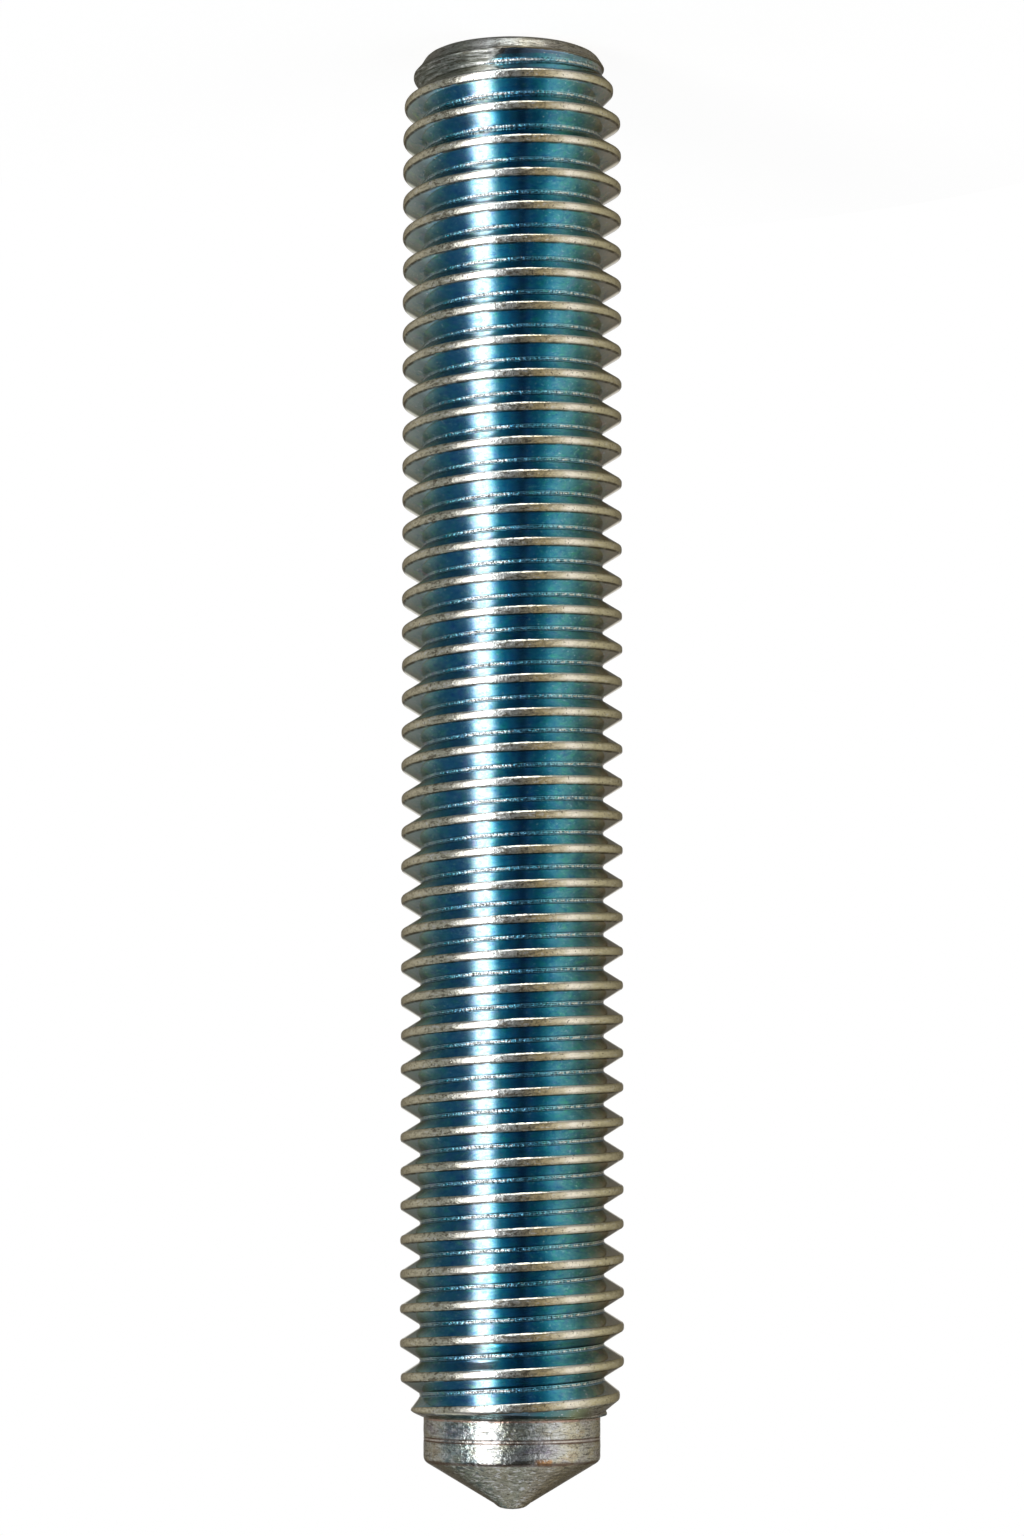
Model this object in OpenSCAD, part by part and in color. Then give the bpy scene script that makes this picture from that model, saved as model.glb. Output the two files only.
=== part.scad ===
// Weld stud: a steel stud threaded over its whole body, with a chamfered flat
// end, a short turned land and a conical weld tip. It is one piece.
// The origin is the centre of the flat end, and +Z is the axis of the stud,
// towards the weld tip. All sizes are in millimetres.

/* [Stud] */
// Length from the flat end to the point of the weld tip
stud_l = 65; // [45:1:90]

/* [Thread] */
// Diameter over the thread crests
thread_d = 9.86; // [9.5:0.02:13]
// Distance from one crest to the next
pitch = 1.5; // [1.25:0.05:1.8]
// Width of the flat on top of each crest
crest_w = 0.3; // [0.2:0.01:0.36]
// Width of the flat at the bottom of the groove
root_w = 0.2; // [0.1:0.01:0.3]
// Lean of each flank away from square to the axis
flank_angle = 30; // [27.5:0.5:30]
// Height of the first crest above the flat end, on the +X side
crest_start = 0.8; // [0.3:0.1:1.2]

/* [Flat end] */
// Diameter of the flat end face
end_face_d = 7.4; // [5:0.1:7.8]
// Height of the broken edge around the end face
end_edge_l = 0.2; // [0.1:0.05:0.4]
// How far the broken edge reaches out from the end face
end_edge_w = 0.28; // [0.1:0.02:0.4]
// Height at which the chamfer reaches the full thread diameter
end_chamfer_l = 2; // [1:0.1:4]

/* [Weld end] */
// Diameter of the turned land
land_d = 7.76; // [6:0.02:7.9]
// Length of the turned land
land_l = 1.75; // [1:0.05:4]
// Step from the land up to the end of the thread
land_step = 0.1; // [0.08:0.02:0.2]
// Length of the taper at the end of the thread
runout_l = 1.4; // [0.6:0.1:3]
// Angle of the weld tip, measured across the cone
tip_angle = 118; // [100:1:140]
// Radius of the blunt nub at the point of the tip
nub_r = 1.3; // [0.3:0.1:1.8]

/* [Hidden] */

steel = "#b5b1a2";

// Facets in one turn of the thread
turn_steps = 24;
// How far the land reaches down inside the threaded body, to join it
land_root_l = 3;
// Points along the section of the nub
nub_steps = 6;

thread_r = thread_d / 2;
thread_depth = (pitch - crest_w - root_w) / 2 / tan(flank_angle);
root_r = thread_r - thread_depth;
land_r = land_d / 2;

// The nub is part of a ball that the cone touches all round, and the top of
// the ball is the point of the stud.
cone_slope = 90 - tip_angle / 2;
function nub_point(a) = [nub_r * sin(a), stud_l - nub_r * (1 - cos(a))];
cone_end = nub_point(cone_slope);
shoulder_z = cone_end[1] - (land_r - cone_end[0]) * tan(cone_slope);
body_l = shoulder_z - land_l;

// Outline of the turned body that carries the thread: [height, radius]
outline = [
    [0, end_face_d / 2],
    [end_edge_l, end_face_d / 2 + end_edge_w],
    [end_chamfer_l, thread_r],
    [body_l - runout_l, thread_r],
    [body_l, land_r + land_step]
];

// One pitch of the thread: [height above the middle of the crest, radius]
crest_half = crest_w / 2;
root_start = crest_half + thread_depth * tan(flank_angle);
section = [
    [-crest_half, thread_r],
    [crest_half, thread_r],
    [root_start, root_r],
    [root_start + root_w, root_r]
];
rows = len(section);

// The helix begins with a whole turn below the flat end, and stops after a
// whole turn above the body, so that both ends of the body are covered.
first_turn = -1 - ceil(crest_start / pitch);
last_turn = 1 + ceil((body_l + crest_half - crest_start) / pitch);
steps = (last_turn - first_turn) * turn_steps;

function step_angle(s) = s * 360 / turn_steps;
function step_z(s) = crest_start + pitch * (first_turn + s / turn_steps);
function around(r, s, z) = [r * cos(step_angle(s)), r * sin(step_angle(s)), z];

// Height of row k at step s. The row after the last is row 0 of the next turn.
function row_z(s, k) = k < rows ? step_z(s) + section[k][0] : row_z(s + turn_steps, 0);
function row_r(s, k) = min(section[k][1], lookup(row_z(s, k), outline));

// Points: the rim of the flat end, the rim of the body's other end, the helix.
rims = 2 * turn_steps;
rim_points = [
    for (z = [0, body_l], s = [0:turn_steps - 1]) around(lookup(z, outline), s, z)
];
helix_points = [
    for (s = [0:steps], k = [0:rows - 1]) around(row_r(s, k), s, row_z(s, k))
];

// Number of the point at step s and row k. What lies past an end of the body
// is drawn in to the rim of that end.
function point_at(s, k) =
    row_z(s, k) <= 0 ? s % turn_steps
    : row_z(s, k) >= body_l ? turn_steps + s % turn_steps
    : k < rows ? rims + s * rows + k
    : point_at(s + turn_steps, 0);

function is_whole(t) = t[0] != t[1] && t[1] != t[2] && t[2] != t[0];

skin = [
    for (s = [0:steps - turn_steps - 1], k = [0:rows - 1])
        let (
            a = point_at(s, k),
            b = point_at(s, k + 1),
            c = point_at(s + 1, k),
            d = point_at(s + 1, k + 1)
        )
        for (t = [[a, b, c], [b, d, c]])
            if (is_whole(t)) t
];
flat_cap = [for (s = [0:turn_steps - 1]) s];
land_cap = [for (s = [turn_steps - 1:-1:0]) turn_steps + s];

module threaded_body() {
    polyhedron(
        points = concat(rim_points, helix_points),
        faces = concat([flat_cap, land_cap], skin),
        convexity = 10
    );
}

module weld_end() {
    land_side = [
        [0, body_l - land_root_l],
        [land_r, body_l - land_root_l],
        [land_r, shoulder_z]
    ];
    nub = [for (i = [nub_steps:-1:0]) nub_point(cone_slope * i / nub_steps)];
    rotate_extrude($fn = 96)
        polygon(concat(land_side, nub));
}

module stud() {
    color(steel) {
        threaded_body();
        weld_end();
    }
}

stud();
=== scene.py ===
# %% [markdown]
# # A zinc plated weld stud
# The stud is one solid piece of steel. A rolled M10 thread covers almost all of it. One end is cut
# flat and has a rounded edge, and the other is a short turned land with a blunt cone, which a stud
# gun melts onto a plate. The grooves keep a blue passivated zinc finish. The crests, the flat end
# and the weld end are worn or torn to a warm silver. One mesh is made here, because the real stud
# has no seam anywhere, and one material tells its finishes apart by where they lie.

# %% Load the frame
import math

import bmesh
import bpy
from mathutils import Matrix, Vector, noise


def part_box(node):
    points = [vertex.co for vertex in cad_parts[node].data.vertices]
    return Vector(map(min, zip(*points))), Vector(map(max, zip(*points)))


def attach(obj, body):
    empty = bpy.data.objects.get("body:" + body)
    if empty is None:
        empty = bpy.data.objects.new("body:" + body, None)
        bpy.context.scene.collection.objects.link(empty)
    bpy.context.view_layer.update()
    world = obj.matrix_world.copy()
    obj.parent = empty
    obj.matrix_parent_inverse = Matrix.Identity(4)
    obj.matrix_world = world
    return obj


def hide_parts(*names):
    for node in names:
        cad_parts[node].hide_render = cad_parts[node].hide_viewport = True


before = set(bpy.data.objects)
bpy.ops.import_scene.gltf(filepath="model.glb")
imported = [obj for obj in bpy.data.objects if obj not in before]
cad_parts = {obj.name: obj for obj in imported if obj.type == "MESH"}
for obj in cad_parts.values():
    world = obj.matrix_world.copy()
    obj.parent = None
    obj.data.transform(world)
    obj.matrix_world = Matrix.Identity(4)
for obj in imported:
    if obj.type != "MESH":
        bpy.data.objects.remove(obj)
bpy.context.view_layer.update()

MM = 0.001
stud_low, stud_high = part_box("stud")
print("stud from", [round(v / MM, 2) for v in stud_low], "to", [round(v / MM, 2) for v in stud_high])

# %% [markdown]
# ## The sizes of the thread
# They are worked in millimetres, as a machinist would, and the finished mesh is brought down to
# metres at the very end. The flat end sits at height 0, and the tip of the weld end at 65.

# %% Sizes
pitch = 1.5
crest_r = round(stud_high[0] / MM, 2)
root_r = 4.064
crest_w = 0.30
root_w = 0.13
crest_at = 0.803
thread_end = 60.96
land_r = 3.88
shoulder_z = 62.885
cone_slope = math.radians(31.0)
nub_edge = 0.68
tip_z = round(stud_high[2] / MM, 2)
steps = 104
turns = 43
print("thread", 2 * crest_r, "mm over the crests,", 2 * root_r, "mm in the roots,", turns, "turns spun")

# %% [markdown]
# ## A helper for rounded corners
# Rolled and turned steel has no sharp corners, so the outlines below get small arcs. An arc that
# touches both straight lines can be worked out from the angle between them. A Bevel modifier
# could round them too, but it would round every other edge of the thread as well.

# %% Rounded corner
def rounded(before, corner, after, radius, parts):
    """Points of an arc of that radius, tangent to the two straight lines that meet at a corner."""
    a = (Vector(before) - Vector(corner)).normalized()
    b = (Vector(after) - Vector(corner)).normalized()
    half = a.angle(b) / 2
    reach = radius / math.tan(half)
    centre = Vector(corner) + (a + b).normalized() * radius / math.sin(half)
    start = Vector(corner) + a * reach - centre
    end = Vector(corner) + b * reach - centre
    turn = start.angle_signed(end)
    return [centre + Matrix.Rotation(-turn * i / parts, 2) @ start for i in range(parts + 1)]


print("a test corner has", len(rounded((0, 0), (1, 0), (1, 1), 0.2, 4)), "points")

# %% [markdown]
# ## One groove of the thread
# The profile of one pitch runs from the middle of a root, over a crest, to the middle of the next
# root. The flanks stand at 30 degrees to a plane across the stud, as on every metric thread. The
# crest is fuller than the root, because the rollers press the crest up and round it.

# %% Profile of one pitch
z_low = crest_at - pitch / 2 - 2 * pitch
corners = [
    (root_r, z_low),
    (root_r, z_low + root_w / 2),
    (crest_r, z_low + pitch / 2 - crest_w / 2),
    (crest_r, z_low + pitch / 2 + crest_w / 2),
    (root_r, z_low + pitch - root_w / 2),
    (root_r, z_low + pitch),
]
corner_radii = [0, 0.09, 0.19, 0.19, 0.09, 0]
corner_parts = [0, 2, 4, 4, 2, 0]
outline = [Vector(corners[0])]
for i in range(1, len(corners) - 1):
    outline += rounded(corners[i - 1], corners[i], corners[i + 1], corner_radii[i], corner_parts[i])
    if i == 2:
        outline.append(Vector((crest_r, z_low + pitch / 2)))
outline.append(Vector(corners[-1]))
print("points in the profile:", len(outline))

# %% [markdown]
# ## Screw it up the stud
# A spin that also climbs makes the thread, just as the rollers do. One turn is spun, and copies of
# it are stacked one by one, a pitch apart. Each turn lies exactly on the one below, so merging
# doubles joins them into one surface. A Screw modifier could do the same, but the ends still have
# to be shaped vertex by vertex.

# %% Spin one turn
bm = bmesh.new()
row = [bm.verts.new((p.x, 0, p.y)) for p in outline]
edges = [bm.edges.new((row[i], row[i + 1])) for i in range(len(row) - 1)]
bmesh.ops.spin(
    bm, geom=row + edges, cent=(0, 0, 0), axis=(0, 0, 1), dvec=(0, 0, pitch / steps),
    angle=2 * math.pi, steps=steps, use_merge=False, use_duplicate=False,
)
print("faces in one turn:", len(bm.faces))

# %% Stack the turns
one_turn = bpy.data.meshes.new("one turn")
bm.to_mesh(one_turn)
turn_verts = len(bm.verts)
for n in range(1, turns):
    bm.from_mesh(one_turn)
    bmesh.ops.translate(bm, vec=(0, 0, pitch * n), verts=bm.verts[:][-turn_verts:])
bpy.data.meshes.remove(one_turn)
merge_turns = 0.004
bmesh.ops.remove_doubles(bm, verts=bm.verts, dist=merge_turns)
print("turns:", turns, "faces:", len(bm.faces))

# %% [markdown]
# ## Finer flanks at the ends
# The ends are going to be bent into a chamfer and a run-out, which takes more vertices than the
# plain thread does. So the long edges up the flanks are subdivided there, and only there.

# %% Finer flanks at the ends
long_edge = 0.6
plain_low, plain_high = 5.0, 57.5
long_edges = [
    e for e in bm.edges
    if e.calc_length() > long_edge
    and not plain_low < (e.verts[0].co.z + e.verts[1].co.z) / 2 < plain_high
]
bmesh.ops.subdivide_edges(bm, edges=long_edges, cuts=4, use_grid_fill=True)
print("faces with finer flanks at the ends:", len(bm.faces))

# %% [markdown]
# ## A fixed order
# A spin makes the same faces each run, but lists them in another order each time, and a merge can
# then keep one or the other of two close vertices. So the mesh is rebuilt with everything sorted:
# the vertices by their place, and the faces by their vertices.

# %% Fixed order
def in_order(bm):
    """The same mesh, with its vertices and faces listed in a fixed order."""
    verts = sorted(bm.verts, key=lambda v: [round(c, 5) for c in (v.co.z, v.co.x, v.co.y)])
    place = {v: n for n, v in enumerate(verts)}
    faces = []
    for face in bm.faces:
        corners = [place[v] for v in face.verts]
        first = corners.index(min(corners))
        faces.append(corners[first:] + corners[:first])
    fresh = bmesh.new()
    made = [fresh.verts.new(v.co) for v in verts]
    for corners in sorted(faces):
        fresh.faces.new([made[n] for n in corners])
    bm.free()
    return fresh


print("sorting helper:", in_order.__name__)

# %% [markdown]
# ## Cut it to length
# The thread was spun too long at both ends. Bisecting with a plane cuts it off cleanly. A few more
# planes near the ends add rings of vertices, so that the chamfer and the run-out come out smooth.
# Cuts that pass close to a vertex leave tiny edges behind, and the second merge takes those away.

# %% Cut off both ends
hair = 1e-5
for z, drop_below, drop_above in [(0.0, True, False), (thread_end, False, True)]:
    bmesh.ops.bisect_plane(
        bm, geom=bm.verts[:] + bm.edges[:] + bm.faces[:], dist=hair, plane_co=(0, 0, z),
        plane_no=(0, 0, 1), clear_inner=drop_below, clear_outer=drop_above,
    )
bm = in_order(bm)
print("faces after cutting:", len(bm.faces))

# %% Rings near the ends
flat_rings = [0.07, 0.14, 0.22, 0.32, 0.44, 0.58, 0.74, 0.92, 1.12, 1.34, 1.58, 1.84]
weld_rings = [59.75, 60.0, 60.22, 60.4, 60.55, 60.68, 60.79, 60.89]
look_within = 1.2
merge_rings = 0.002
shortest_edge = 0.001


def each_once(things):
    """Each thing once, in the order met. A set would list them in another order each run."""
    return list(dict.fromkeys(things))


def near(z):
    """The part of the mesh close to one height, which is all that a cut there has to look at."""
    faces = [f for f in bm.faces if abs(f.verts[0].co.z - z) < look_within]
    near_edges = each_once(e for f in faces for e in f.edges)
    near_verts = each_once(v for f in faces for v in f.verts)
    return faces + near_edges + near_verts


for z in flat_rings + weld_rings:
    bmesh.ops.bisect_plane(bm, geom=near(z), dist=hair, plane_co=(0, 0, z), plane_no=(0, 0, 1))
bm = in_order(bm)
bmesh.ops.remove_doubles(bm, verts=bm.verts, dist=merge_rings)
bmesh.ops.dissolve_degenerate(bm, edges=bm.edges, dist=shortest_edge)
bm = in_order(bm)
print("faces with the extra rings:", len(bm.faces))

# %% [markdown]
# ## Fade the thread at its ends
# A rolled thread doesn't stop dead. At the flat end its first turn is shallow and pressed into a
# rounded chamfer, and at the weld end the last turn dies out above the land. Each vertex near an
# end is moved in or out: the groove's depth is scaled by how far along its own crest is, and an
# outline round the stud limits it, with a soft change from one to the other.

# %% Outlines of the two ends
chamfer = [
    (0.0, 3.70), (0.07, 3.85), (0.14, 3.93), (0.22, 3.99), (0.5, 4.16), (0.8, 4.44), (1.2, 4.62),
    (2.2, 4.93), (2.6, 5.05),
]
runout = [(59.0, 5.05), (59.9, 5.0), (60.4, 4.80), (60.7, 4.50), (60.84, 4.26), (thread_end, 3.99)]
growth_at_start = [
    (0.4, 0.42), (0.8, 0.47), (1.55, 0.60), (1.925, 0.76), (2.3, 0.93), (3.1, 0.97), (4.5, 1.0),
]
growth_at_end = [
    (58.5, 1.0), (59.3, 0.96), (59.675, 0.90), (60.05, 0.79), (60.425, 0.64), (60.8, 0.45), (61.2, 0.1),
]


def read_off(table, z):
    """The value at one height of an outline that is given as a short table."""
    if z <= table[0][0]:
        return table[0][1]
    for (z0, r0), (z1, r1) in zip(table, table[1:]):
        if z <= z1:
            return r0 + (r1 - r0) * (z - z0) / (z1 - z0)
    return table[-1][1]


print("chamfer radius at 0.3 mm:", round(read_off(chamfer, 0.3), 3))

# %% Soft steps
def soft_least(a, b, width):
    """The smaller of two numbers, with a soft change from one to the other."""
    return min(a, b) - width * math.log(1 + math.exp(-abs(a - b) / width))


def ramp(x, low, high):
    """Goes from 0 at low to 1 at high, slowly at both ends."""
    t = min(max((x - low) / (high - low), 0.0), 1.0)
    return t * t * (3 - 2 * t)


print("soft least of 4.0 and 4.1:", round(soft_least(4.0, 4.1, 0.03), 3))

# %% [markdown]
# ## Knocks and a burr
# The edge of the flat end has two small nicks and one flat spot, and where the thread runs out a
# small burr stands out on one side. Each is a place on the skin, how far it reaches, and how deep
# it goes. A burr has a negative depth.

# %% Knocks and a burr
nicks = [
    ((-3.45, -2.45, 0.72), 0.22, 0.12), ((-3.2, -2.85, 0.66), 0.15, 0.07), ((3.1, -2.9, 1.0), 0.3, 0.05),
]
burrs = [((-3.98, -0.35, 60.86), 0.28, -0.16), ((-3.9, -1.0, 60.8), 0.2, -0.05)]


def knocked_in(place):
    """How deep all the nicks together press the skin in at one place."""
    deep = 0.0
    for centre, reach, depth in nicks + burrs:
        deep += depth * (1 - ramp(math.dist(place, centre), 0.2 * reach, reach))
    return deep


print("deepest nick:", max(knocked_in(centre) for centre, reach, depth in nicks), "mm")

# %% [markdown]
# ## Press the ends into shape
# The same loop keeps a mark on each vertex that says how bare of plating it is. It is 1 on the
# turned ends, on the torn first turn and wherever the outline has cut into the thread. The edge of
# the tear slants across the first groove. The material reads this mark later, so the finish
# follows the shape without any painting by hand.

# %% Press the ends into shape
bare_mark = bm.verts.layers.float.new("turned")
halfway = 30
shaped_low, shaped_high = 4.6, 58.0
tear_slant = 1.2
tear_foot = 0.9
rounding = 0.03
least_rounding = 0.0005
full_height = 5.0


def bareness(co, phase, crest_z, cut_away):
    """How bare of plating the skin is at one place, from 0 to 1."""
    cut = ramp(cut_away, 0.03, 0.10)
    if co.z < halfway:
        rim = 1 - ramp(co.z, 0.60, 0.76)
        torn_edge = tear_slant * (co.z - tear_foot)
        torn_turn = (1 - ramp(crest_z, 1.0, 1.4)) * ramp(co.x - torn_edge, 0.1, 1.1)
        torn_start = (1 - ramp(phase, -0.2, -0.1)) * ramp(crest_z, 1.95, 2.05) * (1 - ramp(crest_z, 2.3, 2.5))
        return max(cut, rim, torn_turn, torn_start)
    return max(cut, ramp(phase, 0.1, 0.2) * ramp(crest_z, 59.4, 59.8) * ramp(abs(co.x), 2.4, 3.6))


for v in bm.verts:
    z = v.co.z
    if shaped_low < z < shaped_high:
        continue
    r = math.hypot(v.co.x, v.co.y)
    angle = math.atan2(v.co.y, v.co.x) % (2 * math.pi)
    phase = (z - crest_at - pitch * angle / (2 * math.pi) + pitch / 2) % pitch - pitch / 2
    crest_z = z - phase
    growth = read_off(growth_at_start if z < halfway else growth_at_end, crest_z)
    grown = root_r + (r - root_r) * growth
    limit = read_off(chamfer if z < halfway else runout, z)
    softness = rounding * ramp(min(z, thread_end - z), 0.0, 0.3) + least_rounding
    new_r = soft_least(grown, limit, softness) if limit < full_height else grown
    v[bare_mark] = bareness(v.co, phase, crest_z, grown - new_r)
    new_r -= knocked_in(v.co)
    v.co.x *= new_r / r
    v.co.y *= new_r / r
print("bare vertices on the thread:", sum(1 for v in bm.verts if v[bare_mark] > 0.5))

# %% [markdown]
# ## Turn the two ends
# The land and the cone are turned shapes, so they are built ring by ring: the open rim of the
# thread is extruded, and each new ring is brought to its own radius and height. The vertices
# keep their angle, so the rings join the thread without a gap. A pole is closed at the end by
# merging the last ring into one point.

# %% Rings
def next_ring(ring, r, z):
    """Extrudes an open ring of edges to a new radius and height, and gives back the new ring."""
    made = bmesh.ops.extrude_edge_only(bm, edges=ring)["geom"]
    new_ring = [e for e in made if isinstance(e, bmesh.types.BMEdge) and e.is_boundary]
    for v in each_once(v for e in new_ring for v in e.verts):
        angle = math.atan2(v.co.y, v.co.x)
        v.co = (r * math.cos(angle), r * math.sin(angle), z)
        v[bare_mark] = 1.0
    return new_ring


def open_ring(z):
    """The open rim of the mesh at one height, brought exactly to that height."""
    rim = [e for e in bm.edges if e.is_boundary and all(abs(v.co.z - z) < 0.02 for v in e.verts)]
    for v in each_once(v for e in rim for v in e.verts):
        v.co.z = z
    return rim


def close_pole(ring, z):
    """Merges a small ring into one point on the axis."""
    bmesh.ops.pointmerge(bm, verts=each_once(v for e in ring for v in e.verts), merge_co=(0, 0, z))


print("edges round the open end of the thread:", len(open_ring(thread_end)))

# %% The outline of the land
land = [(3.97, 60.97), (3.91, 60.985), (3.885, 61.015), (3.88, 61.2), (3.885, 61.55), (3.88, 61.76)]
first_line, second_line = 61.84, 61.98
half_line = 0.02
for line_z, depth in ((first_line, 0.03), (second_line, 0.02)):
    land += [(land_r, line_z - half_line), (land_r - depth, line_z), (land_r, line_z + half_line)]
land += [(3.885, 62.2), (3.88, 62.5)]
print("points in the land:", len(land))

# %% The outline of the cone
def on_the_cone(r):
    """The height of the cone at one radius."""
    return shoulder_z + (land_r - r) * math.tan(cone_slope)


shoulder_round = 0.35
shoulder = rounded(
    (land_r, 62.0), (land_r, shoulder_z), (nub_edge, on_the_cone(nub_edge)), shoulder_round, 5,
)
cone = [tuple(p) for p in shoulder]
cone_rings = 8
widest, narrowest = 3.6, 0.95
for i in range(1, cone_rings + 1):
    r = widest + (narrowest - widest) * i / cone_rings
    cone.append((r, on_the_cone(r)))
nub = [(0.81, 64.725), (0.72, 64.80), (0.63, 64.87), (0.52, 64.925), (0.36, 64.965), (0.18, 64.99)]
print("points in the cone and its blunt tip:", len(cone) + len(nub))

# %% Weld end
ring = open_ring(thread_end)
for r, z in land + cone + nub:
    ring = next_ring(ring, r, z)
close_pole(ring, tip_z)
print("faces with the weld end:", len(bm.faces))

# %% Flat end
ring = open_ring(0.0)
end_face_radii = (3.62, 3.2, 2.4, 1.5, 0.6)
for r in end_face_radii:
    ring = next_ring(ring, r, 0.0)
close_pole(ring, 0.0)
print("faces with both ends:", len(bm.faces))

# %% [markdown]
# ## A little unevenness
# No stud is perfectly true. A slow noise moves the skin by a few microns, and the worn places get
# a finer noise on top, so that reflections waver a little on the crests and on the land.

# %% Unevenness
slow_push = 0.006
fine_push = 0.010
for v in bm.verts:
    r = math.hypot(v.co.x, v.co.y)
    if r < 0.5 or v.co.z < 0.03:
        continue
    slow = noise.noise(Vector((v.co.x * 0.35, v.co.y * 0.35, v.co.z * 0.6)))
    fine = noise.noise(Vector((v.co.x * 1.7, v.co.y * 1.7, v.co.z * 2.3 + 40)))
    rubbed = max(ramp(r, crest_r - 0.05, crest_r - 0.02), v[bare_mark])
    push = slow_push * slow + rubbed * fine_push * fine
    v.co.x *= 1 + push / r
    v.co.y *= 1 + push / r
print("farthest from the axis:", round(max(math.hypot(v.co.x, v.co.y) for v in bm.verts), 4), "mm")

# %% [markdown]
# ## Make the object
# The mesh is brought down to metres, its normals are recalculated once it is closed, and its open
# edges and volume are counted and printed: a solid has no open edge, and its volume comes out
# positive. Extruding lists its faces in another order each run, as spinning does, so the faces are
# sorted once more. The Weighted Normal modifier keeps the flat flanks flat in the shading, although
# their edges are smooth.

# %% Make the object
bmesh.ops.scale(bm, vec=(MM, MM, MM), verts=bm.verts)
bmesh.ops.recalc_face_normals(bm, faces=bm.faces)
open_edges = sum(1 for e in bm.edges if not e.is_manifold)
volume = bm.calc_volume(signed=True) / MM**3
for f in bm.faces:
    f.smooth = True
bm.verts.index_update()
listed = sorted(bm.faces, key=lambda f: sorted(v.index for v in f.verts))
places = {f: n for n, f in enumerate(listed)}
bm.faces.sort(key=places.get)
mesh = bpy.data.meshes.new("weld_stud")
bm.to_mesh(mesh)
bm.free()
triangles = sum(len(p.vertices) - 2 for p in mesh.polygons)
print("open edges", open_edges, "volume", round(volume, 1), "mm3, triangles", triangles)

# %% Hang it in the scene
stud = bpy.data.objects.new("weld_stud", mesh)
bpy.context.scene.collection.objects.link(stud)
even_normals = stud.modifiers.new("even_normals", "WEIGHTED_NORMAL")
even_normals.mode = "FACE_AREA"
even_normals.weight = 50
print("modifiers:", [m.name for m in stud.modifiers])

# %% [markdown]
# ## Helpers for the materials
# A material is a tree of nodes. These helpers add a node to the tree that is being worked on and
# link it, so that each finish below reads like a sum. A value may be a plain number, a colour or
# the output of another node.

# %% Start a material
def new_material(name):
    """A new material with an empty tree."""
    material = bpy.data.materials.new(name)
    material.use_nodes = True
    material.node_tree.nodes.clear()
    return material


def node(kind, **settings):
    """Adds one node to the tree in hand."""
    made = tree.nodes.new(kind)
    for key, value in settings.items():
        setattr(made, key, value)
    return made


def put(socket, value):
    """Links an output to an input, or sets a plain number or colour on it."""
    if isinstance(value, bpy.types.NodeSocket):
        tree.links.new(value, socket)
    elif isinstance(value, tuple) and len(value) == 3 and socket.type == "RGBA":
        socket.default_value = (*value, 1)
    else:
        socket.default_value = value


zinc = new_material("zinc_plated_steel")
tree = zinc.node_tree
print("material:", zinc.name)

# %% Sums
def calc(operation, a, b=0.0, c=0.0):
    """One Math node."""
    made = node("ShaderNodeMath", operation=operation)
    for socket, value in zip(made.inputs, (a, b, c)):
        put(socket, value)
    return made.outputs[0]


def times(*values):
    """Several values multiplied together."""
    product = values[0]
    for value in values[1:]:
        product = calc("MULTIPLY", product, value)
    return product


def spread(value, low, high, to_low=0.0, to_high=1.0):
    """A smooth step: to_low where the value is at low, to_high where it is at high."""
    made = node("ShaderNodeMapRange", interpolation_type="SMOOTHSTEP")
    for name, number in zip(
        ("Value", "From Min", "From Max", "To Min", "To Max"), (value, low, high, to_low, to_high),
    ):
        put(made.inputs[name], number)
    return made.outputs["Result"]


def between(value, start, full, still, gone):
    """A band: 0 before start, 1 from full to still, and 0 again past gone."""
    return times(spread(value, start, full), spread(value, gone, still))


print("helpers for sums:", calc.__name__, times.__name__, spread.__name__, between.__name__)

# %% Mixing
def mix_value(amount, a, b):
    """A number between two others."""
    made = node("ShaderNodeMix", data_type="FLOAT")
    put(made.inputs["Factor"], amount)
    put(made.inputs[2], a)
    put(made.inputs[3], b)
    return made.outputs[0]


def paint(under, tone, amount, blend="MIX"):
    """Lays a tone over what is there, by an amount from 0 to 1."""
    made = node("ShaderNodeMix", data_type="RGBA", blend_type=blend)
    put(made.inputs["Factor"], amount)
    put(made.inputs[6], under)
    put(made.inputs[7], tone)
    return made.outputs[2]


def stain(under, tone, amount=1.0):
    """Tints what is there, as a thin film does."""
    return paint(under, tone, amount, blend="MULTIPLY")


print("helpers for mixing:", mix_value.__name__, paint.__name__, stain.__name__)

# %% [markdown]
# ## Where a point of the stud is
# All patterns read the object's own coordinates, so they stay on the stud when it moves. From
# these come the height in millimetres, the distance from the axis, the turn round the axis, and
# the bearing, which is 0.5 straight ahead. The phase is how far a point is from the middle of its
# own crest, along the stud: 0 on a crest, and 0.75 mm either way in a root.

# %% Height, radius and turn
object_at = node("ShaderNodeTexCoord").outputs["Object"]
split = node("ShaderNodeSeparateXYZ")
put(split.inputs["Vector"], object_at)
x_mm = times(split.outputs["X"], 1 / MM)
y_mm = times(split.outputs["Y"], 1 / MM)
height = times(split.outputs["Z"], 1 / MM)
across = node("ShaderNodeCombineXYZ")
put(across.inputs["X"], x_mm)
put(across.inputs["Y"], y_mm)
length = node("ShaderNodeVectorMath", operation="LENGTH")
put(length.inputs[0], across.outputs["Vector"])
from_axis = length.outputs["Value"]
side = calc("ABSOLUTE", x_mm)
turn = calc("ARCTAN2", y_mm, x_mm)
print("nodes so far:", len(tree.nodes))

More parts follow.
